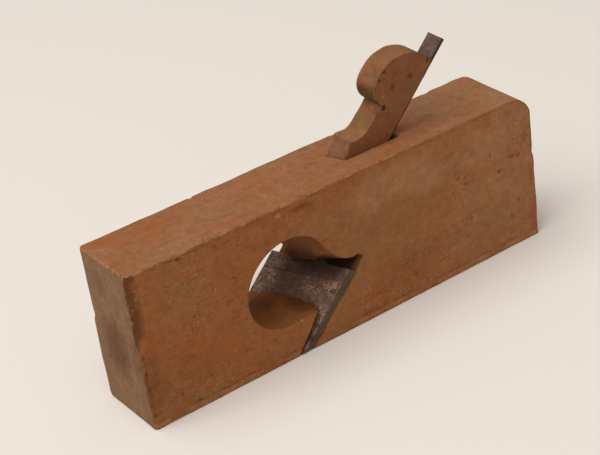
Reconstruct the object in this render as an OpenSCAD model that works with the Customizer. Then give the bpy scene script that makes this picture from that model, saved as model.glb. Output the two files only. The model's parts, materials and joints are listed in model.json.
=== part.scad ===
// Skew rebate plane: a beech stock with a round side escapement, a skewed
// iron with a laid steel face, and the wedge that holds it.
// Millimetres. The sole lies on z = 0, the toe points to -X and the heel to +X.
// "Up the bed" lengths start where the bed meets the sole on the centre line.

/* [Stock] */
// Length of the stock, toe to heel
stock_l = 241; // [200:1:300]
// Width of the stock
stock_w = 42; // [32:1:54]
// Height of the stock
stock_h = 82.5; // [78:0.5:95]
// Radius of the rounded top corner at the heel, on the near side
heel_near = 14.5; // [12.5:0.5:20]
// Radius of the rounded top corner at the heel, on the far side
heel_far = 11; // [6:0.5:12]
// Size of the chamfers on the heel's upright corners
heel_chamfer = 0.9; // [0.5:0.1:3]
// Size of the narrow chamfer on one toe corner
toe_chamfer = 1.6; // [0.5:0.1:3]
// Width on the side of the broad chamfer on the other toe corner
broad_side = 5; // [2:0.1:7]
// Width on the end of the broad chamfer
broad_end = 2.2; // [1:0.1:4]
// Radius of the curve in which the broad chamfer runs out
broad_r = 9; // [5:0.5:14]
// Height above the sole at which the chamfers stop at the toe
toe_stop = 47; // [30:1:60]
// Height above the sole at which the chamfers stop at the heel
heel_stop = 49; // [30:1:60]
// Radius of the gouge cut that ends each other chamfer
gouge_r = 4; // [2:0.5:7]
// Depth of the gouge cut below a chamfer
gouge_deep = 0.4; // [0.2:0.1:1.5]

/* [Bed and mouth] */
// Pitch of the bed above the sole in degrees
pitch = 45; // [43:0.5:50]
// Skew of the cutting edge from square in degrees
skew = 23.8; // [10:0.2:26]
// Place of the bed's foot along the stock, from its middle
bed_x = -38.65; // [-50:0.05:-25]
// Gap between the iron's face and the front of the mouth, along the sole
mouth_gap = 2; // [1:0.1:4]
// Slope of the flare that opens the mouth to the near side, in degrees
flare_slope = 54; // [50:1:65]
// Turn of the flare toward the heel in degrees
flare_turn = 11; // [0:1:20]
// Distance of the flare's foot from the front of the mouth, along the sole
flare_foot = 0.3; // [0.2:0.1:1]
// Gap between the iron's face and the front of its slot
slot_gap = 0.3; // [0.1:0.05:0.8]
// Room above the iron's shoulders in the slot
slot_room = 8.6; // [6:0.2:12]

/* [Escapement] */
// Mean radius of the round hole on the near side
hole_r = 23.1; // [20:0.1:24]
// Mean radius of the round hole on the far side
far_r = 20.6; // [18:0.1:22]
// Longest radius of the hole over its mean radius
oval = 1.045; // [1.01:0.005:1.06]
// Slope of the longest radius above the sole in degrees
oval_turn = 31; // [20:1:40]
// Turn of the hole's axis toward the heel in degrees
hole_turn = 2.5; // [0:0.5:5]
// Height of the hole's floor above the sole on the near side
floor_z = 19.1; // [15:0.1:22]
// Rise of the flat floor over the lowest line of the hole
floor_rise = 0.4; // [0.3:0.1:1]
// Place of the hole's centre ahead of or behind the bed's foot
hole_dx = 1.45; // [-4:0.05:4]
// Angle round the hole at which its rim bends into the beak
beak_angle = 40; // [30:1:45]
// Fall of the beak's roof across the stock in degrees
beak_fall = 12; // [8:0.5:18]

/* [Iron] */
// Thickness of the blade
iron_t = 4.2; // [3:0.1:5]
// Height of the near shoulder up the bed
shoulder = 49.8; // [44:0.2:56]
// Slant of the shoulders and of the slot's end from square, in degrees
shoulder_slant = 13.5; // [8:0.5:18]
// Radius in the corner between shoulder and tang
shoulder_r = 4; // [1:0.5:5]
// Thickness of the tang
tang_t = 2.2; // [1.4:0.1:2.8]
// Length over which the blade thins into the tang
taper_l = 30; // [15:1:45]
// Play between the tang and each side of the wedge slot
tang_play = 0.9; // [0.5:0.1:1.2]
// Sideways place of the tang from the middle of the wedge slot
tang_off = 0.2; // [-0.4:0.1:0.4]
// Length of the tang that stands out above the stock, up the bed
tang_out = 53.4; // [46:0.2:60]
// Height of the cutting edge above the sole with the iron set back
edge_lift = 0.1; // [0.05:0.05:1]
// Clearance angle of the bevel above the sole in degrees
bevel_clear = 15; // [8:1:20]
// Thickness of the laid steel
steel_t = 1.4; // [0.8:0.1:2]
// Height of the laid steel's upper edge above the sole
steel_z = 28.5; // [22:0.5:32]

/* [Wedge] */
// Width of the wedge
wedge_w = 10.6; // [9:0.2:14]
// Sideways place of the wedge and its slot
wedge_off = -1.4; // [-3:0.2:3]
// Gap between the wedge and each side of its slot
wedge_gap = 0.15; // [0.1:0.05:0.4]
// Length of the wedge slot on top of the stock
slot_len = 33; // [30:0.5:38]
// Taper of the wedge in degrees
wedge_angle = 14; // [10:0.5:15]
// Length of the wedge that stands out above the stock, up the bed
wedge_out = 41.6; // [38:0.2:45]
// Distance from the stock's top down to the front step, up the bed
step_down = 13.5; // [12:0.5:15]
// Thickness of the wedge at its neck
neck_t = 14.4; // [12:0.2:16]
// Radius of the hollow between the front step and the neck
hollow_r = 14; // [12:0.5:16]
// Radius of the round head
head_r = 21; // [19:0.5:23]
// Height of the head's centre above the iron
head_rise = 3.8; // [2:0.2:6]
// Radius of the nose that the notch runs under
nose_r = 8.3; // [7:0.1:9]
// Distance of the nose's centre ahead of the head's centre
nose_ahead = 3; // [2:0.2:4]

/* [Hidden] */
$fn = 96;
// Overlap of a cut past the face that it opens
cut = 2;
// Roll of the bed plane about its own slope, which gives the skew
roll = atan(tan(skew) * sin(pitch));
// Length up the bed at the top of the stock
top_a = stock_h / sin(pitch);
// Near end of the iron's slot up the bed
slot_end = shoulder + slot_room;
// Width of the wedge slot
slot_w = wedge_w + 2 * wedge_gap;
// Width of the tang
tang_w = wedge_w - 2 * tang_play;
// Depth of the oval hole below its centre over its mean radius
oval_low = sqrt(pow(oval * sin(oval_turn), 2) + pow(cos(oval_turn) / oval, 2));
// Centre of the round hole on the near side
hole_x = bed_x + hole_dx;
hole_z = floor_z + hole_r * oval_low;
// Length of the hole's axis between the two sides
hole_l = stock_w / cos(hole_turn);
// Rise of the hole's floor across the stock in degrees
floor_tilt = atan((hole_r - far_r) * oval_low / hole_l);
// A length that reaches past the whole plane
far = 2 * (stock_l + stock_h + tang_out);
// Segments in the beak's curve
beak_steps = 14;

// Place across the bed of the near side, h above the bed
function near_y(h) = (h * sin(roll) - stock_w / 2) / cos(roll);

// Radius of the hole on the near side at an angle above the sole
function rim_r(angle) =
    hole_r / sqrt(pow(cos(angle - oval_turn) / oval, 2) + pow(sin(angle - oval_turn) * oval, 2));

// Length up the bed of a slanted end at place y across the bed
function slanted(end, y) = end - (y - near_y(0)) * tan(shoulder_slant);

// Height of a bed plane's near edge above the unrolled bed, h above the bed
function lift(h) = near_y(h) * sin(roll) + h * cos(roll);

// Point [x, z] on the near side at length a up the bed and height h over it
function near_pt(a, h) = [
    bed_x + a * cos(pitch) - lift(h) * sin(pitch),
    a * sin(pitch) + lift(h) * cos(pitch)
];

// Place along the near side where the plane h over the bed is at height z
function near_x(z, h) =
    near_pt((z - lift(h) * cos(pitch)) / sin(pitch), h)[0];

// Point of the near side seen along a direction turned by turn that falls by t
function turned(p, turn, t) = [
    p[0] * cos(turn),
    p[1] * cos(t) - p[0] * sin(turn) * sin(t)
];

// Height of the wedge's front face over the bed at length a up the bed
function wedge_face(a) =
    slot_len * sin(pitch) * cos(roll)
    + (a - top_a + slot_len * cos(pitch)) * tan(wedge_angle);

// Point at t from 0 to 1 on a curve with four guide points
function bend(g, t) =
    pow(1 - t, 3) * g[0] + 3 * t * pow(1 - t, 2) * g[1]
    + 3 * t * t * (1 - t) * g[2] + pow(t, 3) * g[3];

// Frame of the bed: x up the slope, y across it, z out of it toward the toe
module in_bed() {
    translate([bed_x, 0, 0])
        rotate([0, -pitch, 0])
            rotate([roll, 0, 0])
                children();
}

// Everything in front of the bed plane
module before_bed() {
    in_bed()
        translate([-far / 2, -far / 2, 0])
            cube(far);
}

// An upright slice of the plane, w wide about y
module slice(w, y) {
    translate([-far / 2, y - w / 2, -far / 2])
        cube([far, w, far]);
}

// An outline [up the bed, over the bed] drawn out across the bed
module across_bed(w) {
    in_bed()
        rotate([90, 0, 0])
            linear_extrude(height = w, center = true)
                children();
}

// Near side points drawn out along the skew, or another turn, falling by t
module along_skew(points, t = 0, turn = skew) {
    translate([0, -stock_w / 2, 0])
        rotate([0, 0, turn])
            rotate([90 - t, 0, 0])
                linear_extrude(height = far, center = true)
                    polygon([for (p = points) turned(p, turn, t)]);
}

// Corner that the heel's rounding takes off: a slender cone touches the top
// and the end, and its point lies on their edge beyond the far side
module heel_round() {
    taper = (heel_near - heel_far) / stock_w;
    point_y = heel_far / taper + stock_w / 2;
    slant = sqrt(1 + taper * taper);
    half_angle = asin(taper / sqrt(1 + 2 * taper * taper));
    long = 2 * (point_y + stock_w);
    translate([stock_l / 2, point_y, stock_h])
        difference() {
            intersection() {
                rotate([0, 0, -atan(taper)])
                    translate([0, -long, -stock_h])
                        cube([stock_l, long, 2 * stock_h]);
                rotate([atan(taper), 0, 0])
                    translate([-stock_l, -long, 0])
                        cube([2 * stock_l, long, stock_h]);
            }
            rotate([90 + atan(taper / slant), 0, -atan(taper)])
                cylinder(h = long, r1 = 0, r2 = long * tan(half_angle));
        }
}

// Block with its rounded heel
module block() {
    difference() {
        translate([-stock_l / 2, -stock_w / 2, 0])
            cube([stock_l, stock_w, stock_h]);
        heel_round();
    }
}

// Stopped chamfer on one upright corner, side and end being its two widths,
// which ends at height stop in a round cut of radius r that goes deep below it
module corner_cut(sx, sy, stop, side, end, r, deep) {
    depth = side * end / sqrt(side * side + end * end);
    translate([sx * stock_l / 2, sy * stock_w / 2, stop])
        rotate([0, 0, atan2(sy * side, sx * end)]) {
            translate([-depth, -2 * r, 0])
                cube([2 * r, 4 * r, stock_h]);
            translate([r - depth - deep, 0, 0])
                rotate([90, 0, 0])
                    cylinder(r = r, h = 4 * r, center = true);
        }
}

// Slab on the bed, t thick, from low up to a slanted end
module slab(low, end, t) {
    in_bed()
        linear_extrude(height = t)
            polygon([
                [low, -stock_w],
                [slanted(end, -stock_w), -stock_w],
                [slanted(end, stock_w), stock_w],
                [low, stock_w]
            ]);
}

// Slot that the blade lies in, open at both sides and at the sole
module iron_slot() {
    slab(-far / 2, slot_end, iron_t + slot_gap);
}

// Near side outline of the space between the iron and a wall in front of it
function throat_outline(foot, slope) =
    let (top = floor_z + 0.3 * hole_r)
    [
        [foot - cut / tan(slope), -cut],
        [near_x(-cut, iron_t / 2), -cut],
        [near_x(top, iron_t / 2), top],
        [foot + top / tan(slope), top]
    ];

// Throat whose front wall follows the iron, with a flare to the near side
module throat() {
    foot = near_x(0, iron_t) - mouth_gap;
    along_skew(throat_outline(foot, pitch));
    intersection() {
        before_bed();
        along_skew(throat_outline(foot + flare_foot, flare_slope), turn = -flare_turn);
    }
}

// Tapering oval hole with its flat floor, which narrows to the far side
module round_hole() {
    // Length by which the hole is drawn past each side
    past = 2 * cut;
    grow = past * (hole_r - far_r) / hole_l;
    translate([hole_x, -stock_w / 2, hole_z])
        rotate([-90, 0, -hole_turn])
            rotate([0, 0, -oval_turn])
                scale([oval, 1 / oval, 1])
                    translate([0, 0, -past])
                        cylinder(r1 = hole_r + grow, r2 = far_r - grow, h = hole_l + 2 * past);
    translate([hole_x, -stock_w / 2, floor_z + floor_rise])
        rotate([floor_tilt, 0, 0])
            translate([0, -past, 0])
                cube([far / 2, stock_w + 2 * past, 0.5 * hole_r]);
}

// Round hole and the beak that opens it along the iron
module escapement() {
    // The curve starts just inside the hole and leaves it at a slant
    start_r = rim_r(beak_angle) - floor_rise;
    rim = [hole_x, hole_z] + start_r * [cos(beak_angle), sin(beak_angle)];
    // It ends just inside the iron's slot
    tip_h = iron_t + slot_gap / 2;
    tip = near_pt(slanted(slot_end, near_y(tip_h)) - slot_gap, tip_h);
    low_h = iron_t / 2;
    low = near_pt(slanted(slot_end, near_y(low_h)) - slot_gap, low_h);
    span = tip[0] - rim[0];
    guide = [
        rim,
        rim + 0.43 * span * [sin(beak_angle), -cos(beak_angle)],
        tip - span * [0.445, 0.105],
        tip
    ];
    base = floor_z + 0.4 * hole_r;
    intersection() {
        before_bed();
        union() {
            round_hole();
            along_skew(concat(
                [[hole_x, base], [hole_x, hole_z]],
                [for (i = [0 : beak_steps]) bend(guide, i / beak_steps)],
                [low, [near_x(base, iron_t / 2), base]]
            ), beak_fall);
        }
    }
}

// Slot through the top for the wedge and the tang
module wedge_slot() {
    low = floor_z / sin(pitch);
    high = top_a + wedge_out + slot_len;
    intersection() {
        slice(slot_w, wedge_off);
        across_bed(far)
            polygon([
                [low, 0],
                [high, 0],
                [high, wedge_face(high)],
                [low, wedge_face(low)]
            ]);
    }
}

// Beech stock
module stock() {
    color("peru")
        difference() {
            block();
            iron_slot();
            throat();
            escapement();
            wedge_slot();
            corner_cut(-1, -1, toe_stop, broad_side, broad_end, broad_r, 0);
            corner_cut(-1, 1, toe_stop, toe_chamfer, toe_chamfer, gouge_r, gouge_deep);
            for (sy = [-1, 1])
                corner_cut(1, sy, heel_stop, heel_chamfer, heel_chamfer, gouge_r, gouge_deep);
        }
}

// Blade with its bevel, as wide as the stock
module blade() {
    edge = near_x(edge_lift, iron_t);
    reach = stock_w;
    difference() {
        intersection() {
            slice(stock_w, 0);
            slab(-reach, shoulder, iron_t);
        }
        along_skew([
            [edge - far / 4, edge_lift],
            [edge, edge_lift],
            [edge + reach, edge_lift + reach * tan(bevel_clear)],
            [edge + reach, -far / 4],
            [edge - far / 4, -far / 4]
        ]);
    }
}

// Layer of the blade's face that the laid steel takes up
module steel_layer() {
    intersection() {
        in_bed()
            translate([-far / 2, -far / 2, iron_t - steel_t])
                cube([far, far, steel_t + cut]);
        translate([-far / 2, -far / 2, -far])
            cube([far, far, far + steel_z]);
    }
}

// Tang, with the corners at the shoulders filled round
module tang() {
    end = top_a + tang_out;
    mid = (wedge_off + tang_off + (iron_t - tang_t / 2) * sin(roll)) / cos(roll);
    // Length up the bed that lies well inside the blade
    inside = slanted(shoulder, stock_w / 2) - cut;
    in_bed()
        intersection() {
            linear_extrude(height = iron_t) {
                translate([inside, mid - tang_w / 2])
                    square([end - inside, tang_w]);
                for (s = [-1, 1])
                    corner_fill(mid, mid + s * tang_w / 2, mid + s * (tang_w / 2 + shoulder_r));
            }
            rotate([90, 0, 0])
                linear_extrude(height = far, center = true)
                    polygon([
                        [inside, 0],
                        [shoulder, 0],
                        [shoulder + taper_l, iron_t - tang_t],
                        [end, iron_t - tang_t],
                        [end, iron_t],
                        [inside, iron_t]
                    ]);
        }
}

// Round fill between the slanted shoulder and the tang's side at y_side, its
// circle centred at y_round, with an overlap into both
module corner_fill(y_mid, y_side, y_round) {
    centre = [slanted(shoulder, y_round) + shoulder_r / cos(shoulder_slant), y_round];
    foot = centre - shoulder_r * [cos(shoulder_slant), sin(shoulder_slant)];
    difference() {
        polygon([
            [slanted(shoulder, y_side) - cut, y_mid],
            [centre[0], y_mid],
            [centre[0], y_side],
            centre,
            foot,
            foot - [cut, 0]
        ]);
        translate(centre)
            circle(shoulder_r);
    }
}

// Wrought body of the iron, with its tang
module iron() {
    color("dimgray")
        difference() {
            union() {
                blade();
                tang();
            }
            steel_layer();
        }
}

// Steel laid on the face of the blade down to the cutting edge
module cutting_steel() {
    color("silver")
        intersection() {
            blade();
            steel_layer();
        }
}

// Side outline of the wedge
module wedge_outline() {
    // Length up the bed at which the taper runs out on the iron
    run_out = top_a - slot_len * cos(pitch)
        - (slot_len * sin(pitch) * cos(roll) - iron_t) / tan(wedge_angle);
    step = top_a - step_down;
    neck = iron_t + neck_t;
    step_h = wedge_face(step);
    // Centre of the hollow, whose bottom lies on the neck
    hollow_h = neck + hollow_r;
    hollow_a = step + sqrt(pow(hollow_r, 2) - pow(hollow_h - step_h, 2));
    head = [top_a + wedge_out - head_r, iron_t + head_rise];
    apart = head_r - nose_r;
    nose = head + [-nose_ahead, sqrt(pow(apart, 2) - pow(nose_ahead, 2))];
    notch_a = nose[0] - sqrt(pow(nose_r, 2) - pow(nose[1] - neck, 2));
    difference() {
        polygon([
            [run_out, iron_t],
            [head[0], iron_t],
            [head[0], neck],
            [hollow_a, neck],
            [step, step_h]
        ]);
        translate([hollow_a, hollow_h])
            circle(hollow_r);
    }
    polygon([[hollow_a, iron_t], [head[0], iron_t], head, nose, [notch_a, neck], [hollow_a, neck]]);
    translate(nose)
        circle(nose_r);
    intersection() {
        translate(head)
            circle(head_r);
        polygon([
            head,
            head + 3 * (nose - head),
            head + [3 * head_r, 3 * head_r],
            [head[0] + 3 * head_r, iron_t],
            [head[0], iron_t]
        ]);
    }
}

// Beech wedge, its lower end cut flush with the escapement
module wedge() {
    color("burlywood")
        difference() {
            intersection() {
                slice(wedge_w, wedge_off);
                translate([-far / 2, -far / 2, floor_z + 0.5 * hole_r])
                    cube(far);
                across_bed(far)
                    wedge_outline();
            }
            escapement();
        }
}

stock();
iron();
cutting_steel();
wedge();
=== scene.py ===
"""Looks of a worn wooden rebate plane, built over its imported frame.

Every piece of the frame is carried over, remeshed finely, worn at its arrises and dressed in procedural
wood, wrought iron or steel. Meshes are in metres. Shaders read Object coordinates turned into millimetres.
"""

from __future__ import annotations

import json
import logging
import math
from dataclasses import dataclass
from enum import Enum
from typing import Any

import bpy
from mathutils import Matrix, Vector, noise

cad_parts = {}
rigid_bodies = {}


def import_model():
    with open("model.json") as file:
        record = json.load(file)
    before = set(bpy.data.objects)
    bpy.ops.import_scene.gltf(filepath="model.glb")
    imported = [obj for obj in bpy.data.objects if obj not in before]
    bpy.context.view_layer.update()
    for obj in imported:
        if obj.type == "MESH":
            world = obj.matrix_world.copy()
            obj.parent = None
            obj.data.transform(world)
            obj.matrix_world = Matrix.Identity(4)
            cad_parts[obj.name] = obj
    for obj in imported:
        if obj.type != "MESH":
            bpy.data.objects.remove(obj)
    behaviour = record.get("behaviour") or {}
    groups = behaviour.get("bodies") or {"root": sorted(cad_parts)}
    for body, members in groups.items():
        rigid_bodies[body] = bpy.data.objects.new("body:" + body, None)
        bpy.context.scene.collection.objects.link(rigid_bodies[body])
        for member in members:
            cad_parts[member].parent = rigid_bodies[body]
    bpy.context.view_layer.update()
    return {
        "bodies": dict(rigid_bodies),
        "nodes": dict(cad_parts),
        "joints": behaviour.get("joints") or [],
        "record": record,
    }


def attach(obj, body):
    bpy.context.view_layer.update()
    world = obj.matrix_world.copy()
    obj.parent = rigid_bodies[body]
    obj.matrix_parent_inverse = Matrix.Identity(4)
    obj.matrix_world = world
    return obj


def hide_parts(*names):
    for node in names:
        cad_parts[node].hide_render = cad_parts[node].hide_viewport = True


LOG = logging.getLogger("rebate_plane")
MM = 0.001

Colour = tuple[float, float, float]
Point = tuple[float, float, float]
Socket = bpy.types.NodeSocket
Sockets = bpy.types.bpy_prop_collection
Tree = bpy.types.NodeTree
Piece = bpy.types.Object


def make_active(piece: Piece) -> None:
    """Select one object alone and make it the active one.

    Args:
        piece: The object.
    """
    bpy.ops.object.select_all(action="DESELECT")
    piece.select_set(True)
    bpy.context.view_layer.objects.active = piece


def apply_modifier(piece: Piece, kind: str, **settings: Any) -> None:
    """Put a modifier on a piece and apply it.

    Args:
        piece: The object that is changed.
        kind: Blender's name of the modifier.
        settings: The modifier's own values.
    """
    make_active(piece)
    modifier = piece.modifiers.new(kind.title(), kind)
    for key, value in settings.items():
        setattr(modifier, key, value)
    bpy.ops.object.modifier_apply(modifier=modifier.name)


class Board:
    """A shader node tree that is being wired."""

    def __init__(self, tree: Tree) -> None:
        """Take the tree that the nodes go into."""
        self.tree = tree

    def feed(self, socket: Socket, value: Any) -> None:
        """Link a socket to another one, or set its plain value.

        Args:
            socket: The socket that is fed.
            value: A socket, a number, a vector, or a colour without its opacity.
        """
        if isinstance(value, Socket):
            self.tree.links.new(value, socket)
        elif socket.type == "RGBA":
            socket.default_value = (*value, 1.0)
        else:
            socket.default_value = value

    def node(self, kind: str, values: dict[int | str, Any], **settings: Any) -> Sockets:
        """Add a node and feed its inputs.

        Args:
            kind: The node's type without its ShaderNode prefix.
            values: What each input gets, by the input's name or number.
            settings: The node's own properties.

        Returns:
            The node's outputs.
        """
        made = self.tree.nodes.new("ShaderNode" + kind)
        for name, setting in settings.items():
            setattr(made, name, setting)
        for key, value in values.items():
            self.feed(made.inputs[key], value)
        return made.outputs

    def group(self, tree: Tree, **inputs: Any) -> Sockets:
        """Place a node group, with _ for a space in an input's name, and return its outputs."""
        values = {name.replace("_", " "): value for name, value in inputs.items()}
        return self.node("Group", values, node_tree=tree)

    def math(self, operation: str, a: Any, b: Any = 0.0, c: Any = 0.0, clamp: bool = False) -> Socket:
        """Work out one sum on up to three numbers, kept between 0 and 1 where it is clamped."""
        return self.node("Math", {0: a, 1: b, 2: c}, operation=operation, use_clamp=clamp)[0]

    def product(self, first: Any, *factors: Any) -> Socket:
        """Multiply several numbers.

        Args:
            first: Number or socket.
            factors: The numbers or sockets that it is multiplied by, in order.

        Returns:
            The product's socket.
        """
        for factor in factors:
            first = self.math("MULTIPLY", first, factor)
        return first

    def vector(self, operation: str, a: Any, b: Any) -> Socket:
        """Work out one sum on two vectors."""
        return self.node("VectorMath", {0: a, 1: b}, operation=operation)["Vector"]

    def length(self, vector: Socket) -> Socket:
        """Give a vector's length."""
        return self.node("VectorMath", {0: vector}, operation="LENGTH")["Value"]

    def scaled(self, vector: Socket, factor: Any) -> Socket:
        """Make a vector longer, or a colour brighter, by a factor."""
        return self.node("VectorMath", {0: vector, "Scale": factor}, operation="SCALE")["Vector"]

    def turned(self, vector: Socket, pitch: float, kind: str) -> Socket:
        """Turn a point or a normal about Y by an angle in degrees."""
        rotation = (0.0, math.radians(pitch), 0.0)
        return self.node("Mapping", {"Vector": vector, "Rotation": rotation}, vector_type=kind)["Vector"]

    def split(self, vector: Socket) -> tuple[Socket, Socket, Socket]:
        """Give a vector's three parts."""
        return tuple(self.node("SeparateXYZ", {0: vector}))

    def blend(self, share: Any, a: Any, b: Any) -> Socket:
        """Blend two colours by the share of the second one."""
        return self.node("Mix", {0: share, 6: a, 7: b}, data_type="RGBA")[2]

    def step(self, value: Any, low: Any, high: Any) -> Socket:
        """Rise smoothly from 0 at low to 1 at high, or fall where high is the lower."""
        values = {"Value": value, "From Min": low, "From Max": high}
        return self.node("MapRange", values, interpolation_type="SMOOTHSTEP")["Result"]

    def noise(
        self, vector: Socket, scale: Any, detail: float = 2.0, rough: float = 0.5, colour: bool = False
    ) -> Socket:
        """Add a noise texture.

        Args:
            vector: Coordinates of the pattern.
            scale: Lumps per unit of the coordinates, as one number or along each axis.
            detail: Octaves of finer lumps.
            rough: Strength of each octave in the one before it.
            colour: Whether the three-channel result is wanted.

        Returns:
            The noise's value or its colour.
        """
        if isinstance(scale, tuple):
            vector = self.vector("MULTIPLY", vector, scale)
            scale = 1.0
        values = {"Vector": vector, "Scale": scale, "Detail": detail, "Roughness": rough}
        return self.node("TexNoise", values)["Color" if colour else "Fac"]


def new_group(
    name: str, inputs: dict[str, str], outputs: tuple[str, ...]
) -> tuple[Board, Sockets, Sockets]:
    """Start a shader node group.

    Args:
        name: The group's name.
        inputs: Kind of each input, by its name: Vector or Float.
        outputs: Names of the outputs, which are all numbers.

    Returns:
        The group's board, the sockets that it is given and the sockets of its results.
    """
    tree = bpy.data.node_groups.new(name, "ShaderNodeTree")
    for socket, kind in inputs.items():
        tree.interface.new_socket(socket, in_out="INPUT", socket_type="NodeSocket" + kind)
    for socket in outputs:
        tree.interface.new_socket(socket, in_out="OUTPUT", socket_type="NodeSocketFloat")
    given = tree.nodes.new("NodeGroupInput").outputs
    return Board(tree), given, tree.nodes.new("NodeGroupOutput").inputs


def grain_group() -> Tree:
    """Build the grain of a hardwood whose fibres run along X.

    Returns:
        A group that takes millimetres and gives the tone from dark to light, the ray flecks and a height.
    """
    board, given, result = new_group(
        "hardwood_grain",
        {"Vector": "Vector", "Heart": "Vector", "Ring Spacing": "Float"},
        ("Tone", "Flecks", "Height"),
    )
    place = given["Vector"]
    sway = board.noise(place, scale=(0.006, 0.03, 0.03), colour=True)
    swayed = board.vector("ADD", place, board.vector("MULTIPLY", sway, (0.0, 10.0, 10.0)))
    from_heart = board.vector("SUBTRACT", swayed, given["Heart"])
    radius = board.length(board.vector("MULTIPLY", from_heart, (0.0, 1.0, 1.0)))
    turn = board.math("FRACT", board.math("DIVIDE", radius, given["Ring Spacing"]))
    ring = board.math("POWER", turn, 3.0)
    streak = board.noise(swayed, scale=(0.012, 0.22, 0.22), detail=3.0)
    fibre = board.noise(swayed, scale=(0.07, 1.5, 1.5), detail=3.0)
    ray = board.noise(swayed, scale=(0.42, 1.7, 1.7), detail=1.0)
    flecks = board.step(ray, 0.60, 0.72)
    tone = board.math("ADD", board.product(streak, 0.75), board.product(fibre, 0.45))
    tone = board.math("SUBTRACT", tone, board.product(ring, 0.18), clamp=True)
    board.feed(result["Tone"], tone)
    board.feed(result["Flecks"], flecks)
    board.feed(result["Height"], board.math("SUBTRACT", fibre, board.product(flecks, 0.4)))
    return board.tree


def speck_group() -> Tree:
    """Build small ragged specks that gather in clusters.

    Returns:
        A group that takes millimetres, the specks' and the clusters' lumps per millimetre and the level above
        which a lump is a speck, and gives a mask.
    """
    board, given, result = new_group(
        "specks", {"Vector": "Vector", "Lumps": "Float", "Level": "Float", "Clusters": "Float"}, ("Mask",)
    )
    fine = board.noise(given["Vector"], given["Lumps"])
    gather = board.noise(given["Vector"], given["Clusters"])
    spot = board.step(fine, given["Level"], board.math("ADD", given["Level"], 0.06))
    board.feed(result["Mask"], board.product(spot, board.step(gather, 0.46, 0.62)))
    return board.tree


def mark_group() -> Tree:
    """Build one mark at a place.

    Returns:
        A group that takes millimetres, the mark's place and half sizes, and gives a mask.
    """
    board, given, result = new_group(
        "mark", {"Vector": "Vector", "Place": "Vector", "Half Size": "Vector"}, ("Mask",)
    )
    offset = board.vector("SUBTRACT", given["Vector"], given["Place"])
    reach = board.length(board.vector("DIVIDE", offset, given["Half Size"]))
    board.feed(result["Mask"], board.step(reach, 1.0, 0.3))
    return board.tree


def arris_group() -> Tree:
    """Build the wear along arrises from the worn attribute.

    Returns:
        A group that takes millimetres and the wear, and gives rubbed places, dirty places and inner corners.
    """
    board, given, result = new_group(
        "arris_wear", {"Vector": "Vector", "Worn": "Float"}, ("Rubbed", "Dirty", "Inner")
    )
    worn = given["Worn"]
    broad = board.noise(given["Vector"], scale=0.09, detail=3.0)
    fine = board.noise(given["Vector"], scale=0.45, detail=3.0)
    mixed = board.math("ADD", board.product(broad, 0.55), board.product(fine, 0.45))
    rubbed = board.product(board.step(worn, 0.10, 0.55), board.step(mixed, 0.43, 0.58))
    dirty = board.product(board.step(worn, 0.02, 0.20), board.step(mixed, 0.56, 0.42))
    board.feed(result["Rubbed"], rubbed)
    board.feed(result["Dirty"], dirty)
    board.feed(result["Inner"], board.step(worn, -0.05, -0.5))
    return board.tree


@dataclass(frozen=True)
class Effects:
    """The node groups that the finishes share."""

    grain: Tree
    specks: Tree
    mark: Tree
    arris: Tree


class MarkKind(Enum):
    """What a single mark on a surface is."""

    # Marks of this kind are real stains, and in the cut-outs and on the blade painted shade.
    STAIN_AND_SHADE = "stain"
    PIT = "pit"
    NICK = "nick"
    RED = "red"
    OLIVE = "olive"
    DUST = "dust"


STAIN_AND_SHADE, PIT, NICK, RED, OLIVE, DUST = MarkKind


@dataclass(frozen=True)
class Mark:
    """A mark that the object carries at one place, in millimetres."""

    kind: MarkKind
    place: Point
    half_size: Point
    strength: float = 0.7


@dataclass(frozen=True)
class SideLine:
    """A broken line or band along the two sides of a piece, in millimetres."""

    kind: MarkKind
    height: float
    half_width: float
    strength: float


@dataclass(frozen=True)
class Spot:
    """A round place on a piece in millimetres: a hollow knocked into it, or a zone that stays crisp."""

    place: Point
    half_size: Point

    def holds(self, point: Vector) -> bool:
        """Say whether a point given in metres lies in it."""
        offset = point / MM - Vector(self.place)
        return sum((part / half) ** 2 for part, half in zip(offset, self.half_size)) < 1.0


def start_material(name: str) -> tuple[bpy.types.Material, bpy.types.Node]:
    """Start a material.

    Args:
        name: The material's name.

    Returns:
        The material and its Principled shader.
    """
    material = bpy.data.materials.new(name)
    material.use_nodes = True
    return material, material.node_tree.nodes["Principled BSDF"]


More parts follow.
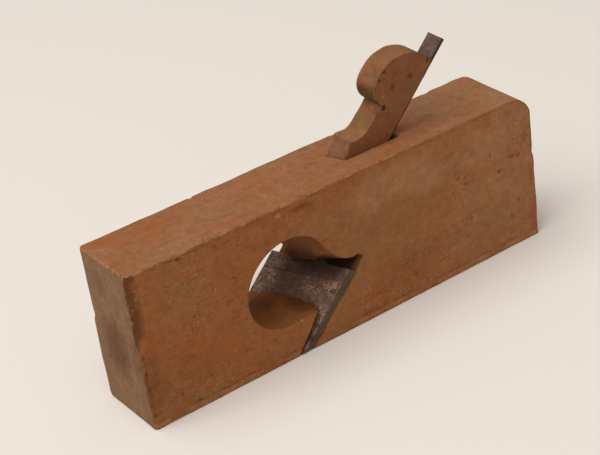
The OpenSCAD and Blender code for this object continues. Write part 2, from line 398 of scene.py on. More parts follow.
class Coat(Board):
    """A piece's material, whose colour is laid on in layers.

    Attributes:
        material: The material.
        shader: Its Principled shader.
        effects: The shared node groups.
        place: The piece's own coordinates in millimetres.
        facing: The direction that the worn surface faces.
        worn: How much the surface was worn down.
        colour: The colour so far.
    """

    def __init__(self, name: str, gloss: float, effects: Effects) -> None:
        """Start the material.

        Args:
            name: The material's name.
            gloss: The shader's specular level.
            effects: The shared node groups.
        """
        self.material, self.shader = start_material(name)
        super().__init__(self.material.node_tree)
        self.shader.inputs["Specular IOR Level"].default_value = gloss
        self.effects = effects
        self.place = self.scaled(self.node("TexCoord", {})["Object"], 1.0 / MM)
        self.facing = self.node("Attribute", {}, attribute_name="facing")["Vector"]
        self.worn = self.node("Attribute", {}, attribute_name="worn")["Fac"]
        self.colour: Socket | Colour = (0.0, 0.0, 0.0)

    def lay(self, mask: Any, ink: Socket | Colour, share: float = 1.0) -> None:
        """Blend an ink over the colour so far, by a share of a mask."""
        self.colour = self.blend(self.product(mask, share), self.colour, ink)

    def stamp(self, mark: Mark, coords: Socket, ink: Colour, within: Any = 1.0) -> None:
        """Blend an ink over the colour so far at a mark's place.

        Args:
            mark: The mark.
            coords: Coordinates in millimetres.
            ink: The mark's colour.
            within: Mask of the faces that carry it.
        """
        spot = self.group(self.effects.mark, Vector=coords, Place=mark.place, Half_Size=mark.half_size)
        self.lay(self.product(spot["Mask"], within), ink, mark.strength)

    def sides(self, low: float, high: float) -> Socket:
        """Mask by how far the surface faces to either side, from 0 at low to 1 at high."""
        return self.step(self.math("ABSOLUTE", self.split(self.facing)[1]), low, high)

    def ragged(self, scale: float, reach: float) -> Socket:
        """Shift the coordinates by noise, so that what is drawn on them has ragged edges.

        Args:
            scale: Lumps of the noise per millimetre.
            reach: Largest shift in millimetres.

        Returns:
            The shifted coordinates.
        """
        lumps = self.noise(self.place, scale, detail=3.0, colour=True)
        centred = self.vector("SUBTRACT", lumps, (0.5, 0.5, 0.5))
        return self.vector("ADD", self.place, self.scaled(centred, 2.0 * reach))

    def specks(self, coords: Socket, lumps: float, level: float, clusters: float) -> Socket:
        """Scatter specks.

        Args:
            coords: Coordinates in millimetres.
            lumps: The specks' lumps per millimetre.
            level: Level above which a lump is a speck.
            clusters: The clusters' lumps per millimetre.

        Returns:
            The specks' mask.
        """
        group = self.effects.specks
        return self.group(group, Vector=coords, Lumps=lumps, Level=level, Clusters=clusters)["Mask"]

    def finish(self, height: Socket, rough: Socket, relief: float, strength: float) -> bpy.types.Material:
        """Wire the colour, the relief and the roughness to the shader.

        Args:
            height: Height from 0 to 1.
            rough: Roughness.
            relief: Height of the relief in metres.
            strength: Share of the relief that shows.

        Returns:
            The finished material.
        """
        normal = self.node("Bump", {"Height": height, "Distance": relief, "Strength": strength})["Normal"]
        self.feed(self.shader.inputs["Base Color"], self.colour)
        self.feed(self.shader.inputs["Roughness"], rough)
        self.feed(self.shader.inputs["Normal"], normal)
        return self.material


@dataclass(frozen=True)
class WoodFinish:
    """Old beech, handled until it is brown and dull.

    Attributes:
        name: The material's name.
        light: Light streaks of the long grain.
        dark: Dark streaks of the long grain.
        red: Patches that turned redder.
        olive: Patches that turned greener.
        dust: Grey film that thickens towards the heel.
        film: Thin greyish film on what faces up.
        dust_range: Places along X at which the dust begins and is full.
        end_light: Light streaks of the end grain.
        end_dark: Dark streaks of the end grain.
        rubbed: Bare wood on rubbed arrises.
        dirt_and_shade: Dirt in pits and along arrises, darkening in inner corners, and painted shade on the
            long chamfers.
        nick: Fresh wood in nicks.
        bore: Clean dark wood inside the cut-outs.
        cut_out_shade_ink: Painted shade deep in the cut-outs.
        under: Wood that faces down: painted shade on the wedge, a tone near the wood's own on the stock's
            sole.
        under_from: Upward part of the facing at which that wood begins, and at which it is full.
        heart: Place of the tree's heart, in millimetres along and across the fibres.
        ring_spacing: Width of a growth ring in millimetres.
        pitch: Angle from X to the fibres, in degrees.
        marks: Marks at their places.
        cut_out_shade: Places of the painted shade in the cut-outs.
        inside: Largest distance from X = 0 and the heights between which a face that isn't a side is inside
            a cut-out.
        lines: Lines along the two sides.
        chamfer_end: Distance from X = 0 past which the chamfers are darkest, in millimetres.
        chamfer_low: Height below which the chamfers aren't darkened.
        speckle: Share of fresh wood in the pale specks.
        side_tone: Brightness of the two sides.
        mottling: Strength of the fine mottling.
        roughness: Mean roughness.
        gloss: The shader's specular level.
        pit_depth: Depth of the pits in the relief, as a share of its height.
    """

    name: str
    light: Colour
    dark: Colour
    red: Colour
    olive: Colour
    dust: Colour
    film: Colour
    dust_range: tuple[float, float]
    end_light: Colour
    end_dark: Colour
    rubbed: Colour
    dirt_and_shade: Colour
    nick: Colour
    bore: Colour
    under: Colour
    heart: Point
    ring_spacing: float
    pitch: float
    marks: tuple[Mark, ...]
    cut_out_shade: tuple[Mark, ...]
    inside: tuple[float, float, float]
    under_from: tuple[float, float] = (-0.1, -0.5)
    lines: tuple[SideLine, ...] = ()
    chamfer_end: float = 0.0
    chamfer_low: float = 0.0
    speckle: float = 0.34
    side_tone: float = 1.0
    mottling: float = 0.95
    roughness: float = 0.72
    cut_out_shade_ink: Colour = (0.020, 0.008, 0.004)
    gloss: float = 0.1
    pit_depth: float = 1.2

    def material(self, effects: Effects) -> bpy.types.Material:
        """Make the material.

        Args:
            effects: The shared node groups.

        Returns:
            The new material.
        """
        coat = Coat(self.name, self.gloss, effects)
        along = coat.turned(coat.place, self.pitch, "POINT")
        grain = coat.group(effects.grain, Vector=along, Heart=self.heart, Ring_Spacing=self.ring_spacing)
        coat.colour = coat.blend(grain["Tone"], self.dark, self.light)
        self.lay_patches(coat)
        coat.lay(grain["Flecks"], self.dirt_and_shade, share=0.22)
        self.lay_end_grain(coat, along)
        self.darken_under(coat)
        self.darken_chamfers(coat)
        pits = self.scatter_specks(coat)
        if self.lines:
            self.draw_lines(coat)
        self.wear_arrises(coat)
        self.lay_cut_outs(coat)
        self.stamp_marks(coat)
        self.mottle(coat)
        height = coat.math("SUBTRACT", grain["Height"], coat.product(pits, self.pit_depth))
        uneven = coat.noise(coat.place, scale=0.2, detail=3.0)
        rough = coat.math("MULTIPLY_ADD", uneven, 0.2, self.roughness - 0.1)
        return coat.finish(height, rough, relief=0.12 * MM, strength=0.6)

    def lay_patches(self, coat: Coat) -> None:
        """Lay redder and greener patches, the dust and the film over the grain.

        Args:
            coat: The material in work.
        """
        patches = coat.noise(coat.place, scale=(0.03, 0.045, 0.045), detail=3.0, colour=True)
        redder, greener, dusty = coat.split(patches)
        coat.lay(coat.step(redder, 0.48, 0.66), self.red, share=0.55)
        coat.lay(coat.step(greener, 0.50, 0.66), self.olive, share=0.50)
        wander = 60.0
        spread = coat.math("MULTIPLY_ADD", dusty, 2.0 * wander, -wander)
        x_place = coat.split(coat.place)[0]
        coat.lay(coat.step(coat.math("ADD", x_place, spread), *self.dust_range), self.dust, share=0.62)
        up = coat.step(coat.split(coat.facing)[2], 0.6, 0.9)
        coat.lay(coat.product(up, coat.step(dusty, 0.2, 0.7)), self.film, share=0.42)

    def lay_end_grain(self, coat: Coat, along: Socket) -> None:
        """Lay the end grain where the surface faces along the fibres.

        Args:
            coat: The material in work.
            along: Coordinates in millimetres, with the fibres along X.
        """
        ends = coat.math("ABSOLUTE", coat.split(coat.turned(coat.facing, self.pitch, "NORMAL"))[0])
        streaks = coat.noise(along, scale=(0.1, 0.22, 0.05), detail=4.0)
        pores = coat.noise(along, scale=2.2)
        tone = coat.math("MULTIPLY_ADD", pores, 0.5, coat.math("SUBTRACT", streaks, 0.25), clamp=True)
        coat.lay(coat.step(ends, 0.80, 0.96), coat.blend(tone, self.end_dark, self.end_light))

    def darken_under(self, coat: Coat) -> None:
        """Darken what faces down."""
        # Painted shade on the wedge's faces that turn down; on the stock mainly its sole's own tone.
        down = coat.step(coat.split(coat.facing)[2], *self.under_from)
        coat.lay(coat.product(coat.sides(0.85, 0.60), down), self.under, share=0.85)

    def darken_chamfers(self, coat: Coat) -> None:
        """Darken the long chamfers: painted shade on their slanted faces, over a darker tone of their own.

        Args:
            coat: The material in work.
        """
        x_face, y_face, _ = coat.split(coat.facing)
        slant = coat.math("SUBTRACT", coat.math("ABSOLUTE", coat.product(x_face, y_face)), 0.15)
        slant = coat.math("MULTIPLY_ADD", coat.noise(coat.place, scale=0.25, detail=4.0), 0.3, slant)
        x_place, _, z_place = coat.split(coat.ragged(scale=0.2, reach=2.0))
        inset = coat.math("SUBTRACT", self.chamfer_end, coat.math("ABSOLUTE", x_place))
        slope = 1.6
        level = coat.math("MULTIPLY_ADD", inset, -slope, z_place)
        high = coat.step(level, self.chamfer_low - 5.0, self.chamfer_low + 3.0)
        edge = coat.step(inset, 8.0, 2.0)
        # Painted shade on the chamfers' slanted faces, over their own darker tone.
        coat.lay(coat.product(coat.step(slant, 0.06, 0.34), high, edge), self.dirt_and_shade, share=0.85)

    def scatter_specks(self, coat: Coat) -> Socket:
        """Scatter pale specks and dark pits.

        Args:
            coat: The material in work.

        Returns:
            The pits' mask.
        """
        pale = coat.specks(coat.place, lumps=0.85, level=0.600, clusters=0.05)
        coat.lay(pale, self.nick, self.speckle)
        shifted = coat.vector("ADD", coat.place, (31.0, 17.0, 43.0))
        pits = coat.specks(shifted, lumps=0.70, level=0.615, clusters=0.055)
        coat.lay(pits, self.dirt_and_shade, share=0.55)
        return pits

    def draw_lines(self, coat: Coat) -> None:
        """Draw the broken lines along the two sides.

        Args:
            coat: The material in work.
        """
        sides = coat.sides(0.55, 0.85)
        z_place = coat.split(coat.ragged(scale=0.12, reach=0.9))[2]
        breaks = coat.step(coat.noise(coat.place, scale=0.10, detail=4.0), 0.42, 0.60)
        inks = {PIT: self.dirt_and_shade, DUST: self.rubbed}
        for line in self.lines:
            away = coat.math("ABSOLUTE", coat.math("SUBTRACT", z_place, line.height))
            band = coat.step(away, line.half_width, 0.4 * line.half_width)
            coat.lay(coat.product(sides, band, breaks), inks[line.kind], line.strength)

    def wear_arrises(self, coat: Coat) -> None:
        """Rub and dirty the arrises and darken inner corners.

        Args:
            coat: The material in work.
        """
        arris = coat.group(coat.effects.arris, Vector=coat.place, Worn=coat.worn)
        coat.lay(arris["Dirty"], self.dirt_and_shade, share=0.34)
        coat.lay(arris["Rubbed"], self.rubbed, share=0.6)
        coat.lay(arris["Inner"], self.dirt_and_shade, share=0.6)

    def lay_cut_outs(self, coat: Coat) -> None:
        """Give the faces inside the cut-outs their cleaner, darker wood and painted shade deep in them.

        Args:
            coat: The material in work.
        """
        reach, low, high = self.inside
        x_place, _, z_place = coat.split(coat.place)
        within = coat.step(coat.math("ABSOLUTE", x_place), reach + 2.0, reach)
        level = coat.product(coat.step(z_place, low, low + 0.5), coat.step(z_place, high, high - 0.8))
        inner = coat.product(coat.sides(0.80, 0.50), within, level)
        coat.lay(inner, self.bore)
        # Painted shade deep in the throat, the escapement, the mouth and the mortise.
        for mark in self.cut_out_shade:
            coat.stamp(mark, coat.place, self.cut_out_shade_ink, within=inner)

    def stamp_marks(self, coat: Coat) -> None:
        """Lay the single marks at their places.

        Args:
            coat: The material in work.
        """
        fine = coat.ragged(scale=0.8, reach=1.3)
        broad = coat.ragged(scale=0.16, reach=3.5)
        inks = {
            STAIN_AND_SHADE: (broad, self.dirt_and_shade),
            PIT: (fine, self.dirt_and_shade),
            NICK: (fine, self.nick),
            RED: (broad, self.red),
            OLIVE: (broad, self.olive),
            DUST: (broad, self.dust),
        }
        for mark in self.marks:
            coat.stamp(mark, *inks[mark.kind])

    def mottle(self, coat: Coat) -> None:
        """Make the colour finely uneven, and the two sides darker or lighter.

        Args:
            coat: The material in work.
        """
        sides = coat.math("MULTIPLY_ADD", coat.sides(0.5, 0.8), self.side_tone - 1.0, 1.0)
        lumps = coat.noise(coat.place, scale=0.22, detail=8.0, rough=0.72)
        tone = coat.math("MULTIPLY_ADD", lumps, self.mottling, 1.0 - 0.5 * self.mottling)
        hues = coat.noise(coat.place, scale=0.30, detail=6.0, rough=0.7, colour=True)
        rest = 1.0 - 0.25 * self.mottling
        tint = coat.vector("ADD", coat.scaled(hues, 0.5 * self.mottling), (rest, rest, rest))
        coat.colour = coat.scaled(coat.vector("MULTIPLY", coat.colour, tint), coat.product(sides, tone))


@dataclass(frozen=True)
class IronFinish:
    """Forged iron or steel under an old stain of rust.

    Attributes:
        name: The material's name.
        rust: Brown film over most of the metal.
        deep: Darkest rust, in pits, and painted shade in shaded places.
        bare: Grey metal where the film is rubbed off.
        bare_share: Level of the noise above which metal is bare, from and to.
        dark_above: Height above which the narrow sides are blackened, in millimetres.
        stains_and_shade: Places where the rust is darkest, and painted shadow under the escapement's roof and
            in the mouth's gap.
        side: Painted shade on the blade's two narrow sides, for the gap of the mouth beside them.
        bare_at_sides: Rise of the noise towards the blade's two sides.
        blotch: Share of the darkest rust in its broad blotches.
        roughness: Mean roughness.
        gloss: The shader's specular level.
        pit_depth: Depth of the pits in the relief, as a share of its height.
    """

    name: str
    rust: Colour
    deep: Colour
    bare: Colour
    bare_share: tuple[float, float]
    dark_above: float
    stains_and_shade: tuple[Mark, ...]
    side: Colour = (0.058, 0.033, 0.016)
    bare_at_sides: float = 0.08
    blotch: float = 0.8
    roughness: float = 0.58
    gloss: float = 0.25
    pit_depth: float = 0.8

    def material(self, effects: Effects) -> bpy.types.Material:
        """Make the material.

        Args:
            effects: The shared node groups.

        Returns:
            The new material.
        """
        coat = Coat(self.name, self.gloss, effects)
        place = coat.place
        broad = coat.noise(place, scale=0.11)
        fine = coat.noise(place, scale=0.8, detail=5.0)
        mixed = coat.math("ADD", coat.product(broad, 0.5), coat.product(fine, 0.5))
        _, y_place, z_place = coat.split(place)
        outer = coat.step(coat.math("ABSOLUTE", y_place), 9.0, 21.0)
        mixed = coat.math("MULTIPLY_ADD", outer, self.bare_at_sides, mixed)
        bare = coat.step(mixed, *self.bare_share)
        coat.colour = self.rust
        coat.lay(coat.step(coat.noise(place, scale=0.30, detail=5.0), 0.60, 0.38), self.deep, self.blotch)
        coat.lay(bare, self.bare)
        coat.lay(coat.step(coat.noise(place, scale=1.1, detail=3.0), 0.47, 0.36), self.deep, share=0.75)
        pits = coat.specks(place, lumps=0.9, level=0.61, clusters=0.10)
        coat.lay(pits, self.deep, share=0.6)
        arris = coat.group(effects.arris, Vector=place, Worn=coat.worn)
        coat.lay(arris["Rubbed"], self.bare, share=0.5)
        sides = coat.sides(0.5, 0.8)
        # Painted shade on the narrow sides, from the mouth's gap beside them.
        coat.lay(sides, self.side, share=0.72)
        high = coat.step(z_place, self.dark_above, self.dark_above + 8.0)
        coat.lay(coat.product(sides, high), self.deep, share=0.85)
        coords = coat.ragged(scale=0.35, reach=2.5)
        # Darkest rust and painted shadow at single places.
        for stain in self.stains_and_shade:
            coat.stamp(stain, coords, self.deep)
        coat.feed(coat.shader.inputs["Metallic"], coat.product(bare, 0.2))
        height = coat.math("SUBTRACT", mixed, coat.product(pits, self.pit_depth))
        rough = coat.math("MULTIPLY_ADD", fine, 0.25, self.roughness - 0.12)
        return coat.finish(height, rough, relief=0.15 * MM, strength=0.7)


@dataclass
class WornPiece:
    """A piece carried over from the frame, then dented, remeshed and worn.

    Attributes:
        name: The piece's name.
        node: The frame's node that it stands for.
        body: The body that it rides on.
        slot: The record's material slot.
        finish: What the piece is dressed in.
        passes: Rounds of smoothing that wear the arrises.
        uneven: Depth of the surface's slight waves.
        wave: Length of these waves.
        depth: Halvings of the piece's length that give the size of its faces.
        least_wear: Share of the smoothing where the wear is least.
        crisp_wear: Share of that which is left in the crisp zones.
        patch: Size of the patches in which the wear varies.
        wear_depth: Loss at an arris that counts as fully worn.
        dents: Hollows knocked into the piece.
        dent_turn: Turn about Z from one dent to the next, in radians.
        dent_turns: Number of turns that the dents take in order.
        crisp: Zones in which the arrises stay sharp.
    """

    name: str
    node: str
    body: str
    slot: str
    finish: WoodFinish | IronFinish
    passes: int
    uneven: float
    wave: float = 5 * MM
    depth: int = 8
    least_wear: float = 0.2
    crisp_wear: float = 0.1
    patch: float = 4 * MM
    wear_depth: float = 0.12 * MM
    dents: tuple[Spot, ...] = ()
    dent_turn: float = 0.4
    dent_turns: int = 5
    crisp: tuple[Spot, ...] = ()

    def build(self, frame: dict[str, Any]) -> Piece:
        """Model the piece over its node.


        Returns:
            The finished piece.
        """
        form = self.carry_over(frame["nodes"][self.node])
        if self.dents:
            self.knock_dents(form)
        piece = form.copy()
        piece.data = form.data.copy()
        bpy.context.scene.collection.objects.link(piece)
        apply_modifier(
            piece, "REMESH", mode="SHARP", octree_depth=self.depth, scale=0.99, use_remove_disconnected=False
        )
        apply_modifier(piece, "SHRINKWRAP", target=form, wrap_method="NEAREST_SURFACEPOINT")
        bpy.data.objects.remove(form)
        piece.name = self.name
        self.make_uneven(piece)
        self.wear_down(piece)
        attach(piece, self.body)
        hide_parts(self.node)
        return piece

    def carry_over(self, node: Piece) -> Piece:
        """Copy a node of the frame as a closed mesh.

        Args:
            node: The frame's object.

        Returns:
            The copy, free of the frame.
        """
        form = bpy.data.objects.new(self.name + "_form", node.data.copy())
        bpy.context.scene.collection.objects.link(form)
        form.data.materials.clear()
        make_active(form)
        bpy.ops.object.mode_set(mode="EDIT")
        bpy.ops.mesh.select_all(action="SELECT")
        bpy.ops.mesh.remove_doubles(threshold=0.001 * MM)
        bpy.ops.object.mode_set(mode="OBJECT")
        return form

    def knock_dents(self, form: Piece) -> None:
        """Cut the dents out of a form.

        Args:
            form: The closed form that is cut.
        """
        bpy.ops.object.select_all(action="DESELECT")
        cutters = []
        for number, dent in enumerate(self.dents):
            place = Vector(dent.place) * MM
            half_size = Vector(dent.half_size) * MM
            bpy.ops.mesh.primitive_ico_sphere_add(subdivisions=2, radius=1.0, location=place, scale=half_size)
            cutter = bpy.context.object
            turn = number % self.dent_turns - self.dent_turns // 2
            cutter.rotation_euler = (0.0, 0.0, self.dent_turn * turn)
            cutters.append(cutter)
        for cutter in cutters:
            cutter.select_set(True)
        bpy.ops.object.transform_apply(location=True, rotation=True, scale=True)
        bpy.ops.object.join()
        joined = bpy.context.object
        apply_modifier(form, "BOOLEAN", operation="DIFFERENCE", object=joined, solver="EXACT", use_self=True)
        bpy.data.objects.remove(joined)

    def make_uneven(self, piece: Piece) -> None:
        """Sink the surface by slight waves.

        Args:
            piece: The remeshed piece.
        """
        waves = bpy.data.textures.new(self.name + "_waves", "CLOUDS")
        waves.noise_scale = self.wave
        waves.noise_depth = 3
        apply_modifier(
            piece, "DISPLACE", texture=waves, texture_coords="LOCAL", strength=self.uneven, mid_level=1.0
        )

    def wear_down(self, piece: Piece) -> None:
        """Round the arrises unevenly and note where the surface was worn and which way it faces.

        Args:
            piece: The remeshed piece.
        """
        group = piece.vertex_groups.new(name="wear")
        before = [vertex.co.copy() for vertex in piece.data.vertices]
        for vertex in piece.data.vertices:
            lump = 0.5 + noise.noise(vertex.co / self.patch)
            share = self.least_wear + (1.0 - self.least_wear) * min(1.0, max(0.0, lump))
            if any(zone.holds(vertex.co) for zone in self.crisp):
                share *= self.crisp_wear
            group.add([vertex.index], share, "REPLACE")
        apply_modifier(piece, "SMOOTH", factor=0.5, iterations=self.passes, vertex_group="wear")
        make_active(piece)
        bpy.ops.object.shade_smooth()
        worn = piece.data.attributes.new("worn", "FLOAT", "POINT")
        facing = piece.data.attributes.new("facing", "FLOAT_VECTOR", "POINT")
        for vertex, old in zip(piece.data.vertices, before):
            inward = (old - vertex.co).dot(vertex.normal)
            worn.data[vertex.index].value = inward / self.wear_depth
            facing.data[vertex.index].vector = vertex.normal


STOCK_BEECH = WoodFinish(
    name="stock_beech",
    light=(0.330, 0.125, 0.043),
    dark=(0.245, 0.083, 0.026),
    red=(0.290, 0.088, 0.026),
    olive=(0.262, 0.122, 0.044),
    dust=(0.345, 0.163, 0.073),
    film=(0.300, 0.150, 0.093),
    dust_range=(10.0, 130.0),
    end_light=(0.262, 0.142, 0.072),
    end_dark=(0.172, 0.086, 0.045),
    rubbed=(0.400, 0.185, 0.080),
    dirt_and_shade=(0.085, 0.032, 0.010),
    nick=(0.520, 0.300, 0.140),
    bore=(0.240, 0.084, 0.023),
    under=(0.260, 0.105, 0.040),
    heart=(0.0, 34.0, -90.0),
    ring_spacing=2.4,
    pitch=0.0,
    marks=(
        Mark(PIT, (-90, -21, 48.5), (1.2, 3, 0.9)),
        Mark(PIT, (-87, -21, 14), (1.4, 3, 1.3)),
        Mark(PIT, (-66, -21, 58), (1, 3, 0.8)),
        Mark(PIT, (-81, -21, 32), (1.1, 3, 0.9)),
        Mark(PIT, (-103, -21, 12), (1.2, 3, 0.9)),
        Mark(PIT, (-50, -21, 20), (0.9, 3, 0.8)),
        Mark(NICK, (-77, -21, 57), (1, 3, 0.6), 0.6),
        Mark(NICK, (-86, -21, 69), (1.6, 3, 1.2), 0.5),
        Mark(NICK, (-33.5, -21, 18.7), (1.1, 3, 1), 0.9),
        Mark(NICK, (77.5, -21, 29), (1.8, 3, 0.6), 0.85),
        Mark(NICK, (103, -21, 38.5), (0.7, 3, 0.7), 0.6),
        Mark(NICK, (-114, 9, 82.5), (0.7, 0.7, 3), 0.9),
        Mark(PIT, (91, -21, 57.7), (1.1, 3, 1.6)),
        Mark(PIT, (105, -21, 52), (3.4, 3, 1.5), 0.5),
        Mark(PIT, (109.5, -21, 51), (2.8, 3, 1.6), 0.5),
        Mark(RED, (80.7, -21, 68.3), (9, 5, 5), 0.6),
        Mark(RED, (88.8, -21, 75.5), (6, 5, 5), 0.65),
        Mark(RED, (104.8, -21, 76.6), (4, 5, 3), 0.5),
        Mark(RED, (113.8, -21, 59.8), (3, 5, 2.5), 0.5),
        Mark(RED, (118.2, -21, 34.3), (3, 5, 9), 0.6),
        Mark(OLIVE, (95, 0, 82.5), (35, 25, 5), 0.4),
        Mark(PIT, (97, -21, 47), (2.4, 3, 1.2), 0.6),
        Mark(PIT, (74, -21, 49), (1.6, 3, 1.2), 0.5),
        Mark(PIT, (108, -21, 26), (2, 3, 1.4), 0.6),
        Mark(PIT, (103, -21, 18), (2, 3, 1.8), 0.7),
        Mark(RED, (-27, -21, 78), (13, 5, 4.5), 0.8),
        Mark(STAIN_AND_SHADE, (-24, -21, 77), (10, 5, 3), 0.5),
        Mark(PIT, (-117.4, -21, 80.2), (1.8, 3, 1.4), 0.6),
        Mark(PIT, (-93.4, -21, 80), (1.4, 3, 1.1), 0.8),
        Mark(RED, (-115.8, -21, 75.5), (3, 5, 3), 0.5),
        Mark(STAIN_AND_SHADE, (-100, -21, 18), (28, 5, 26), 0.14),
        Mark(STAIN_AND_SHADE, (-119.8, -20.8, 24), (2, 2.2, 26), 0.40),
        Mark(STAIN_AND_SHADE, (-117, -21, 30), (7, 6, 34), 0.30),
        Mark(RED, (-114, -21, 44), (9, 5, 8), 0.9),
        Mark(RED, (-82, -21, 26), (34, 5, 20), 0.5),
        Mark(RED, (-89.7, 19.8, 82.5), (6, 4, 4), 0.6),
        Mark(OLIVE, (18, -21, 46), (42, 5, 26), 0.55),
        Mark(OLIVE, (85, -21, 24), (32, 5, 18), 0.5),
        Mark(DUST, (88, -21, 66), (30, 5, 14), 0.6),
        Mark(DUST, (28, -21, 70), (38, 6, 14), 0.75),
        Mark(DUST, (50, -21, 62), (18, 6, 10), 0.7),
        Mark(DUST, (14, -21, 62), (14, 6, 8), 0.5),
        Mark(OLIVE, (-14, -21, 64), (20, 6, 12), 0.7),
        Mark(STAIN_AND_SHADE, (38, -21, 20), (32, 6, 14), 0.16),
        Mark(RED, (118, -21, 12), (5, 5, 14), 0.8),
        Mark(STAIN_AND_SHADE, (-120.5, 2, 36), (6, 15, 21), 0.6),
        Mark(STAIN_AND_SHADE, (-120.5, 6, 68), (5, 6, 10), 0.25),
        Mark(STAIN_AND_SHADE, (-120.5, -16, 38), (5, 7, 18), 0.3),
        Mark(RED, (-114, 17, 82.5), (8, 5, 5), 0.8),
        Mark(RED, (-107, 14.5, 82.5), (5, 4, 5), 0.6),
        Mark(DUST, (-35, -5, 82.5), (3, 4, 3), 0.6),
        Mark(PIT, (-9, 10, 82.5), (0.9, 0.9, 3), 0.6),
        Mark(NICK, (11.5, 6, 82.5), (2.2, 0.6, 3), 0.4),
        Mark(STAIN_AND_SHADE, (93, 1.5, 82.5), (2.6, 2.2, 3), 0.35),
        Mark(STAIN_AND_SHADE, (67, -2, 82.5), (7, 5, 3), 0.25),
        Mark(NICK, (-38, -21, 78.5), (1.6, 3, 1.4), 0.55),
        Mark(DUST, (100, -21, 38), (9, 3, 6), 0.6),
        Mark(PIT, (-120.5, -3.6, 28), (3, 0.8, 0.8), 0.7),
        Mark(PIT, (-119.5, -21, 40), (1.2, 1.6, 1.6), 0.7),
        Mark(PIT, (-119.5, -21, 31), (1.3, 1.6, 3), 0.7),
        Mark(PIT, (-119.5, -21, 22), (1.2, 1.6, 1.8), 0.6),
        Mark(PIT, (-119, -21, 8), (1.6, 1.6, 1.6), 0.6),
        Mark(DUST, (-120.5, 6, 55), (3, 3.5, 6), 0.3),
        Mark(DUST, (-15, -2, 47), (6, 20, 9), 0.45),
        Mark(PIT, (45, -4.4, 81.6), (2.6, 3.2, 2.4), 0.9),
    ),
    # Painted shade deep in the throat, the escapement, the mouth and the wedge's mortise.
    cut_out_shade=(
        Mark(STAIN_AND_SHADE, (-8, -10, 39), (16, 18, 8), 0.85),
        Mark(STAIN_AND_SHADE, (-1, -11, 33), (15, 18, 10), 0.9),
        Mark(STAIN_AND_SHADE, (-14, 5, 35), (6, 18, 6.5), 0.7),
        Mark(STAIN_AND_SHADE, (44, -4, 79), (6, 7, 5), 0.9),
        Mark(STAIN_AND_SHADE, (-58, -6, 36), (14, 30, 16), 0.35),
        Mark(STAIN_AND_SHADE, (-23, -9, 19), (13, 14, 8), 0.5),
    ),
    lines=(
        SideLine(PIT, 80.9, 0.6, 0.4),
        SideLine(DUST, 1.6, 2.2, 0.5),
        SideLine(PIT, 4.3, 0.7, 0.4),
    ),
    inside=(104.0, 0.7, 81.3),
    chamfer_end=120.5,
    chamfer_low=46.0,
)

WEDGE_BEECH = WoodFinish(
    name="wedge_beech",
    light=(0.330, 0.132, 0.056),
    dark=(0.235, 0.086, 0.034),
    red=(0.260, 0.080, 0.028),
    olive=(0.210, 0.106, 0.041),
    dust=(0.320, 0.162, 0.084),
    film=(0.205, 0.118, 0.056),
    dust_range=(90.0, 170.0),
    end_light=(0.240, 0.115, 0.050),
    end_dark=(0.155, 0.072, 0.030),
    rubbed=(0.400, 0.200, 0.080),
    dirt_and_shade=(0.070, 0.026, 0.010),
    nick=(0.460, 0.260, 0.130),
    bore=(0.225, 0.082, 0.024),
    # Painted shade on the wedge's faces that turn down or level, such as under its nose.
    under=(0.100, 0.062, 0.022),
    heart=(0.0, 45.0, -35.0),
    ring_spacing=2.0,
    pitch=45.0,
    marks=(
        Mark(PIT, (39.5, -6.7, 100), (1.6, 2, 2.2), 0.9),
        Mark(STAIN_AND_SHADE, (45, -6.7, 108.5), (3, 2, 2.2), 0.6),
        Mark(STAIN_AND_SHADE, (57, -6.7, 110.5), (2.6, 2, 2.6), 0.6),
        Mark(NICK, (39.5, -6.7, 105.8), (2.2, 2, 0.8), 0.5),
        Mark(PIT, (38.2, -6.7, 114.5), (0.9, 1.6, 1.3), 0.7),
        Mark(PIT, (35.6, -6.7, 111), (0.8, 1.6, 1.2), 0.6),
        Mark(PIT, (41.5, -6.7, 117.6), (1.3, 1.6, 0.9), 0.6),
        Mark(PIT, (17.4, -6.7, 91), (1.2, 1.6, 1), 0.5),
        Mark(DUST, (13, 0, 86.5), (6, 14, 9), 0.45),
        Mark(DUST, (36.5, 1, 116), (6, 14, 6), 0.30),
        Mark(OLIVE, (27, 0, 97), (10, 7, 10), 0.8),
        Mark(OLIVE, (48, 0, 122), (13, 7, 5), 0.7),
    ),
    under_from=(0.30, -0.05),
    # Painted shade on the wedge's lower end where it shows in the throat, matching the stock's.
    cut_out_shade=(Mark(STAIN_AND_SHADE, (-14, 5, 35), (6, 18, 6.5), 0.7),),
    inside=(60.0, 10.0, 68.0),
    speckle=0.12,
    side_tone=0.80,
    mottling=0.8,
)

WROUGHT_IRON = IronFinish(
    name="rusted_wrought_iron",
    rust=(0.165, 0.083, 0.049),
    deep=(0.032, 0.016, 0.009),
    bare=(0.230, 0.128, 0.082),
    bare_share=(0.50, 0.66),
    dark_above=84.0,
    # The first three are painted shadow under the escapement's roof; the last darkens the tang.
    stains_and_shade=(
        Mark(STAIN_AND_SHADE, (-9, -6, 33.5), (16, 21, 7.5), 0.85),
        Mark(STAIN_AND_SHADE, (-14.5, 8.5, 36), (7, 7.5, 5), 0.85),
        Mark(STAIN_AND_SHADE, (-6, -14, 34), (11, 9, 7), 0.6),
        Mark(STAIN_AND_SHADE, (66, 0, 118), (60, 40, 60), 0.40),
    ),
    blotch=0.6,
)

